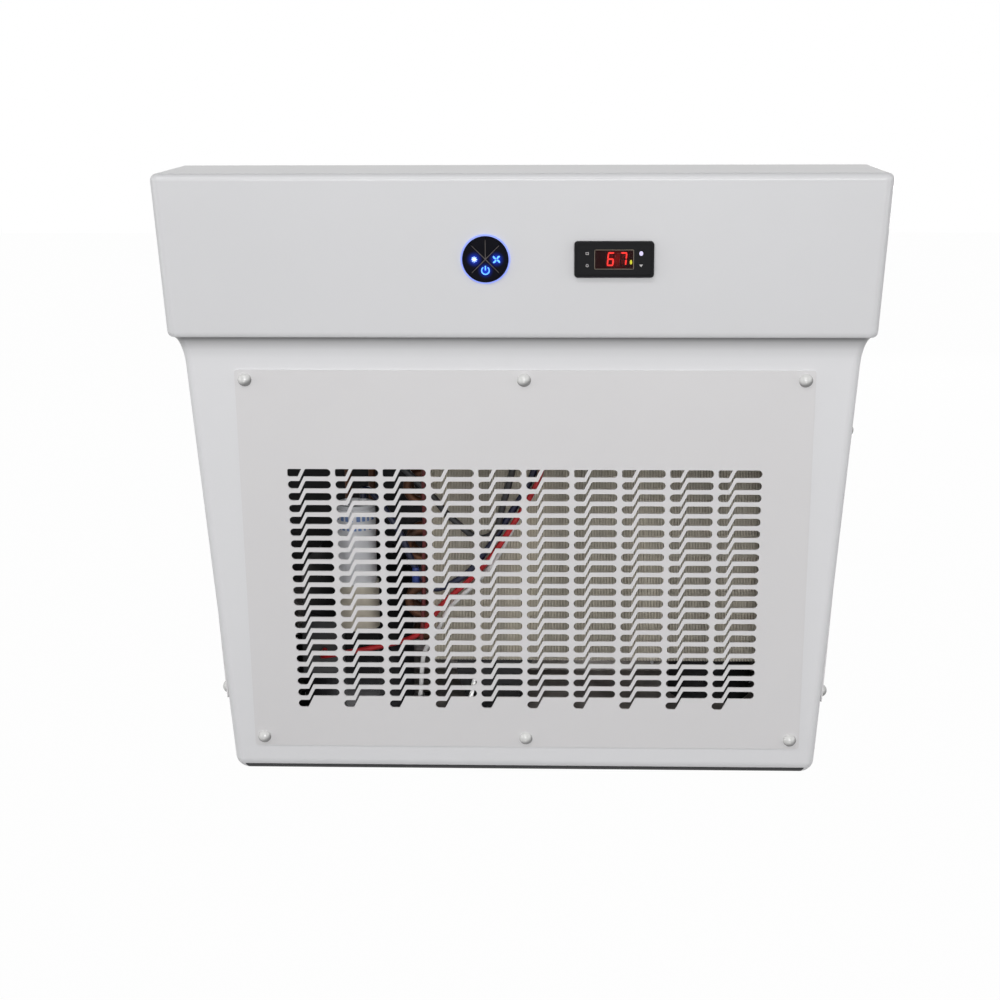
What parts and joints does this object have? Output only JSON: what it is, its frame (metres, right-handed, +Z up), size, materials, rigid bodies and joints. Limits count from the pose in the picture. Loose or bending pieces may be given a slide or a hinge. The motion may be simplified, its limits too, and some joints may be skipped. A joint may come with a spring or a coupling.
{
  "type": "cold plunge chiller",
  "caption": "Free-standing water chiller for a cold plunge tub: tapered white moulded cabinet with slotted front plate, round key pad, panel thermostat and rear water spigots.",
  "frame": {"origin": "floor level under the middle of the overall box, between the front edge of the header and the ends of the rear spigots", "axes": "+X to the right seen from the front, front face towards -Y, rear spigots towards +Y, +Z up"},
  "size_m": [0.7152, 0.4112, 0.642],
  "materials": {
    "shell_white": "glossy white moulding",
    "plate_white": "satin white powder coat",
    "cap_white": "white moulded caps",
    "pad_black": "gloss black",
    "ring_light": "pale blue lit ring",
    "black_plastic": "matte black",
    "bezel_black": "fine texture black",
    "window_smoke": "smoked red lens",
    "digit_red": "lit red segments",
    "clip_orange": "matte orange",
    "steel_white": "satin white paint",
    "zinc": "bright zinc",
    "tray_grey": "grey brown paint",
    "rubber_black": "matte black",
    "fins_alu": "dull beige grey fins",
    "copper": "bare copper",
    "galvanised": "galvanised sheet",
    "black_steel": "black paint",
    "can_white": "white can",
    "boot_beige": "beige",
    "white_plastic": "off white",
    "lead_red": "red insulation",
    "lead_white": "white insulation",
    "lead_blue": "blue insulation"
  },
  "bodies": {
    "cabinet": {"cabinet_shell": "shell_white", "front_grille": "plate_white", "side_grille_left": "plate_white", "side_grille_right": "plate_white", "plate_screws": "zinc", "plate_caps": "cap_white", "keypad_housing": "pad_black", "keypad_light_ring": "ring_light", "keypad_nut": "black_plastic", "thermostat_bezel": "bezel_black", "thermostat_case": "bezel_black", "thermostat_window": "window_smoke", "thermostat_display": "bezel_black", "display_digits": "digit_red", "thermostat_clips": "clip_orange", "rear_panel": "steel_white", "rear_panel_screws": "zinc", "base_tray": "tray_grey", "tray_screws": "zinc", "feet": "rubber_black", "foot_fixings": "zinc", "condenser_fins": "fins_alu", "condenser_coil": "copper", "condenser_end_plates": "galvanised", "fan_shroud": "black_steel", "fan_bracket": "black_steel", "fan_motor": "black_steel", "compressor": "black_steel", "compressor_grommets": "rubber_black", "compressor_bolts": "zinc", "compressor_terminal_cover": "black_plastic", "run_capacitor": "can_white", "capacitor_boot": "boot_beige", "capacitor_bracket": "galvanised", "pump_motor": "black_steel", "pump_volute": "black_plastic", "exchanger_barrel": "white_plastic", "water_spigots": "black_plastic", "panel_nuts": "black_plastic", "water_hoses": "rubber_black", "control_box": "black_plastic", "control_box_lid": "black_plastic", "cable_gland": "black_plastic", "wire_red": "lead_red", "wire_white": "lead_white", "wire_blue": "lead_blue", "refrigerant_lines": "copper", "filter_drier": "copper", "temperature_probe": "zinc"},
    "fan_rotor": {"fan_blades": "black_plastic"},
    "pump_rotor": {"pump_impeller": "white_plastic"},
    "key_fan": {"key_fan": "pad_black"},
    "key_upper_right": {"key_upper_right": "pad_black"},
    "key_upper_left": {"key_upper_left": "pad_black"},
    "key_light": {"key_light": "pad_black"},
    "key_power": {"key_power": "pad_black"},
    "button_set": {"button_set": "bezel_black"},
    "button_timer": {"button_timer": "bezel_black"},
    "button_up": {"button_up": "bezel_black"},
    "button_down": {"button_down": "bezel_black"}
  },
  "joints": [
    {"name": "fan_spin", "type": "hinge", "parent": "cabinet", "child": "fan_rotor", "pos_m": [0.076, -0.06, 0.281], "axis": [0, 1, 0], "continuous": true},
    {"name": "pump_spin", "type": "hinge", "parent": "cabinet", "child": "pump_rotor", "pos_m": [-0.04, 0.1, 0.072], "axis": [0, 1, 0], "continuous": true},
    {"name": "key_fan_press", "type": "slide", "parent": "cabinet", "child": "key_fan", "axis": [0, 0.9982, 0.0593], "range_m": [0, 0.0005], "stiffness_N_per_m": 400, "springref_m": -0.0005},
    {"name": "key_upper_right_press", "type": "slide", "parent": "cabinet", "child": "key_upper_right", "axis": [0, 0.9982, 0.0593], "range_m": [0, 0.0005], "stiffness_N_per_m": 400, "springref_m": -0.0005},
    {"name": "key_upper_left_press", "type": "slide", "parent": "cabinet", "child": "key_upper_left", "axis": [0, 0.9982, 0.0593], "range_m": [0, 0.0005], "stiffness_N_per_m": 400, "springref_m": -0.0005},
    {"name": "key_light_press", "type": "slide", "parent": "cabinet", "child": "key_light", "axis": [0, 0.9982, 0.0593], "range_m": [0, 0.0005], "stiffness_N_per_m": 400, "springref_m": -0.0005},
    {"name": "key_power_press", "type": "slide", "parent": "cabinet", "child": "key_power", "axis": [0, 0.9982, 0.0593], "range_m": [0, 0.0005], "stiffness_N_per_m": 400, "springref_m": -0.0005},
    {"name": "button_set_press", "type": "slide", "parent": "cabinet", "child": "button_set", "axis": [0, 0.9982, 0.0593], "range_m": [0, 0.0005], "stiffness_N_per_m": 400, "springref_m": -0.0005},
    {"name": "button_timer_press", "type": "slide", "parent": "cabinet", "child": "button_timer", "axis": [0, 0.9982, 0.0593], "range_m": [0, 0.0005], "stiffness_N_per_m": 400, "springref_m": -0.0005},
    {"name": "button_up_press", "type": "slide", "parent": "cabinet", "child": "button_up", "axis": [0, 0.9982, 0.0593], "range_m": [0, 0.0005], "stiffness_N_per_m": 400, "springref_m": -0.0005},
    {"name": "button_down_press", "type": "slide", "parent": "cabinet", "child": "button_down", "axis": [0, 0.9982, 0.0593], "range_m": [0, 0.0005], "stiffness_N_per_m": 400, "springref_m": -0.0005}
  ]
}
